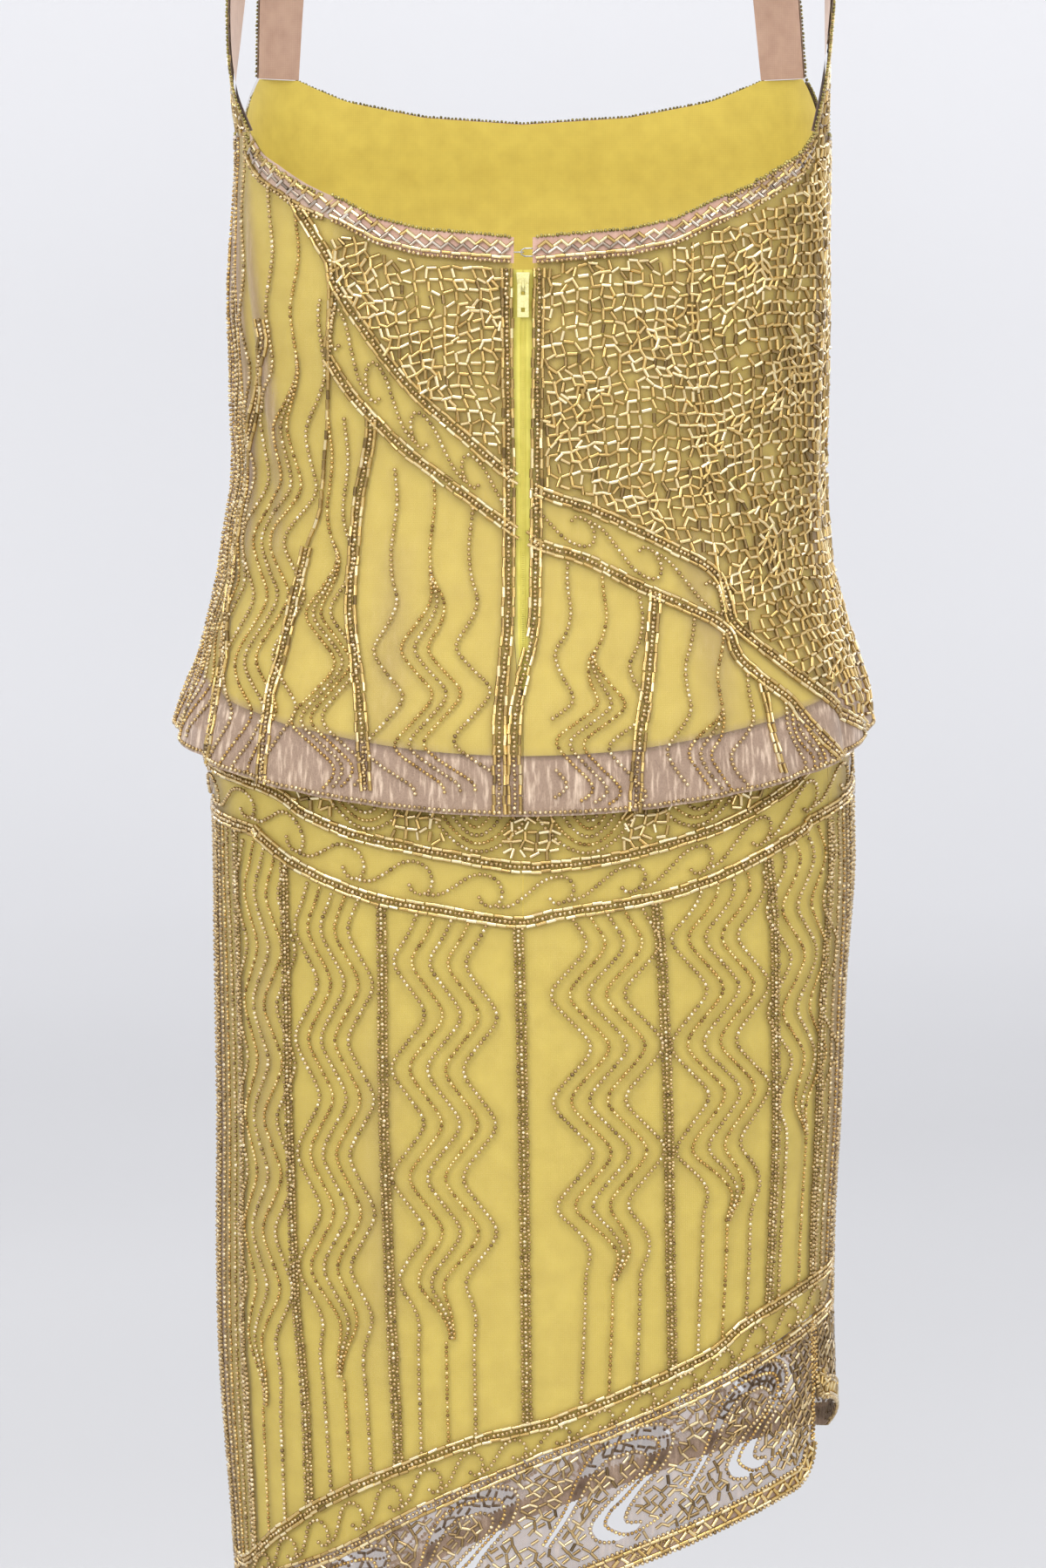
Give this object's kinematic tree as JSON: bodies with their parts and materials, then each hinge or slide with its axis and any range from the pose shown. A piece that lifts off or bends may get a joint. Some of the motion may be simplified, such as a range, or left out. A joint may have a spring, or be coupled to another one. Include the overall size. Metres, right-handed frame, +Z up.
{
  "type": "flapper dress",
  "caption": "Sleeveless beaded flapper dress, hollow as worn, with a low scooped back and zip, a fluted bodice hem over a straight skirt, and a slanting lace hem.",
  "frame": {"origin": "middle of the shoulder line, where the wearer's shoulders hold the straps", "axes": "+Z up along the wearer; the dress's back faces -Y and its front +Y, so the wearer's right is at +X; the hem is higher at +X"},
  "size_m": [0.4072, 0.2662, 1.1428],
  "materials": {
    "net": "sheer net with glass beads",
    "lining": "soft satin",
    "facing": "matt",
    "beaded_band": "net packed with glass beads",
    "zip_tape": "matt woven tape",
    "zip_metal": "gloss enamel",
    "steel": "bright"
  },
  "bodies": {
    "dress": {"bodice_back_left": "net", "bodice_back_right": "net", "bodice_front": "net", "bodice_lining_back_left": "lining", "bodice_lining_back_right": "lining", "bodice_lining_front": "lining", "eye": "steel", "hem_edge_back": "beaded_band", "hem_edge_front": "beaded_band", "hem_lace_back": "net", "hem_lace_front": "net", "hook": "steel", "neckband_back_left": "beaded_band", "neckband_back_right": "beaded_band", "neckband_front": "beaded_band", "skirt_back_left": "net", "skirt_back_right": "net", "skirt_front": "net", "skirt_lining_back": "lining", "skirt_lining_front": "lining", "strap_facing_left": "facing", "strap_facing_right": "facing", "strap_left": "net", "strap_right": "net", "zip_slider": "zip_metal", "zip_tape_left": "zip_tape", "zip_tape_right": "zip_tape"},
    "pull_tab": {"zip_pull_tab": "zip_metal"}
  },
  "joints": [
    {"name": "pull_tab_swing", "type": "hinge", "parent": "dress", "child": "pull_tab", "pos_m": [0, -0.11394, -0.3003], "axis": [-1, 0, 0], "range_deg": [0, 165]}
  ]
}
